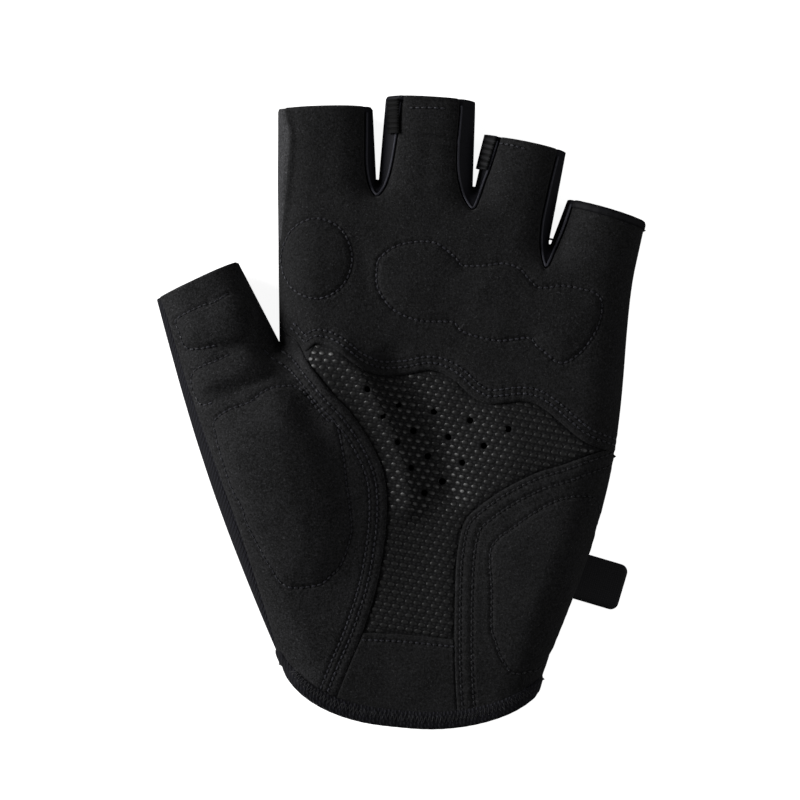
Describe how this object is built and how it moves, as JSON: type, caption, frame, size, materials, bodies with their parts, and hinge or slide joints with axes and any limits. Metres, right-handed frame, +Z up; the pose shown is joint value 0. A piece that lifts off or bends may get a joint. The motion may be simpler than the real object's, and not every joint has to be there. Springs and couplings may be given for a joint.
{
  "type": "cycling glove",
  "caption": "Black half-finger cycling glove for the left hand, lying palm up, with padded suede panels, a dotted grip centre and a wrist strap",
  "frame": {"origin": "The middle of the footprint, on the surface that the glove lies on.", "axes": "X runs across the palm from the thumb to the little finger, Y runs from the wrist to the fingertips, and Z is up, out of the palm."},
  "size_m": [0.137, 0.1752, 0.0271],
  "materials": {
    "suede": "matte",
    "grip": "satin",
    "knit": "matte",
    "stretch": "satin",
    "tape": "matte",
    "strap": "matte"
  },
  "bodies": {
    "root": {"palm_upper_panel": "suede", "thumb_panel": "suede", "outer_palm_panel": "suede", "heel_panel": "suede", "index_side_strip": "suede", "grip_panel": "grip", "back_panel": "knit", "wrist_binding": "knit", "fourchette_index_middle": "stretch", "fourchette_middle_ring": "stretch", "fourchette_ring_little": "stretch", "little_hem_tape": "stretch", "middle_pull_tape": "tape", "ring_pull_tape": "tape", "wrist_strap": "strap"}
  },
  "joints": []
}
